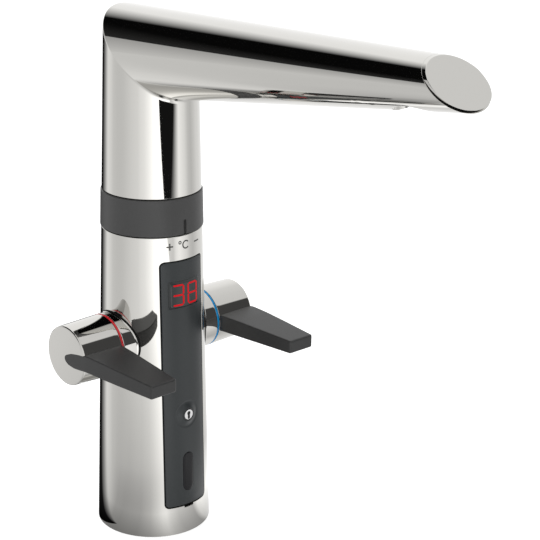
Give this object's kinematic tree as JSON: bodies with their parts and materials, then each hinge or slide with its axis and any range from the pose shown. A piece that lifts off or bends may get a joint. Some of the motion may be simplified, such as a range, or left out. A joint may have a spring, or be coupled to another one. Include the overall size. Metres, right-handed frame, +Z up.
{
  "type": "touchless kitchen faucet",
  "caption": "Chrome single-hole kitchen faucet with swivel spout, hot and cold levers, temperature ring, display, push button and infrared sensor.",
  "frame": {"origin": "centre of the base's underside, at the mouth of the central fixing thread", "axes": "+Z up the column, -Y towards the sink along the spout at rest, +X towards the cold handle"},
  "size_m": [0.105, 0.2279, 0.2648],
  "materials": {
    "chrome": "polished",
    "mark_grey": "flat",
    "brass": "machined",
    "seal_rubber": "matte",
    "screw_steel": "machined",
    "copper_tube": "drawn",
    "cartridge_plastic": "satin",
    "red_enamel": "gloss",
    "blue_enamel": "gloss",
    "dark_lever": "satin",
    "dark_dial": "satin",
    "panel_dark": "satin",
    "window_smoke": "gloss",
    "digit_red": "lit",
    "lens_black": "gloss",
    "button_dark": "gloss",
    "button_pale": "gloss",
    "black_plastic": "matte",
    "valve_plastic": "satin",
    "board_green": "satin",
    "battery_wrap": "satin"
  },
  "bodies": {
    "base": {"body_shell": "chrome", "scale_marks": "mark_grey", "base_plate": "brass", "base_seal": "seal_rubber", "base_grub_screws": "screw_steel", "hot_inlet_tube": "copper_tube", "cold_inlet_tube": "copper_tube", "valve_block": "brass", "hot_cartridge": "cartridge_plastic", "cold_cartridge": "cartridge_plastic", "hot_gland_nut": "brass", "cold_gland_nut": "brass", "hot_collar": "chrome", "cold_collar": "chrome", "hot_ring": "red_enamel", "cold_ring": "blue_enamel", "solenoid_valve": "valve_plastic", "solenoid_coil": "black_plastic", "swivel_spigot": "brass", "spigot_screws": "screw_steel", "slide_rings": "cartridge_plastic", "spigot_seals": "seal_rubber", "retaining_clip": "screw_steel", "dial_bearing": "cartridge_plastic", "dial_sensor": "black_plastic", "panel_frame": "black_plastic", "front_panel": "panel_dark", "display_window": "window_smoke", "display_digits": "digit_red", "display_module": "black_plastic", "button_switch": "black_plastic", "sensor_lens": "lens_black", "infrared_pair": "black_plastic", "circuit_board": "board_green", "battery": "battery_wrap", "battery_holder": "black_plastic"},
    "spout": {"spout_shell": "chrome", "spout_end_cap": "chrome", "spout_socket": "brass", "socket_cap": "brass", "swivel_stop_screw": "screw_steel", "spout_tube": "cartridge_plastic", "aerator_housing": "brass", "aerator_ring": "chrome", "aerator_insert": "cartridge_plastic"},
    "dial": {"temperature_ring": "dark_dial", "dial_magnet": "screw_steel"},
    "hot_handle": {"hot_stem": "brass", "hot_hub": "chrome", "hot_lever": "dark_lever", "hot_hub_screw": "screw_steel"},
    "cold_handle": {"cold_stem": "brass", "cold_hub": "chrome", "cold_lever": "dark_lever", "cold_hub_screw": "screw_steel"},
    "button": {"button_cap": "button_dark", "button_disc": "button_pale"},
    "plunger": {"solenoid_plunger": "screw_steel"}
  },
  "joints": [
    {"name": "spout_swivel", "type": "hinge", "parent": "base", "child": "spout", "pos_m": [0, 0, 0.19], "axis": [0, 0, 1], "range_deg": [-60, 60]},
    {"name": "temperature_turn", "type": "hinge", "parent": "base", "child": "dial", "pos_m": [0, 0, 0.163], "axis": [0, 0, 1], "range_deg": [-20, 20], "stiffness_Nm_per_rad": 0.1},
    {"name": "hot_turn", "type": "hinge", "parent": "base", "child": "hot_handle", "pos_m": [-0.04, 0, 0.099], "axis": [-1, 0, 0], "range_deg": [0, 90]},
    {"name": "cold_turn", "type": "hinge", "parent": "base", "child": "cold_handle", "pos_m": [0.04, 0, 0.099], "axis": [-1, 0, 0], "range_deg": [0, 90]},
    {"name": "button_press", "type": "slide", "parent": "base", "child": "button", "axis": [0, 1, 0], "range_m": [0, 0.0007], "stiffness_N_per_m": 900},
    {"name": "solenoid_lift", "type": "slide", "parent": "base", "child": "plunger", "axis": [0, 1, 0], "range_m": [0, 0.0015], "stiffness_N_per_m": 300}
  ]
}
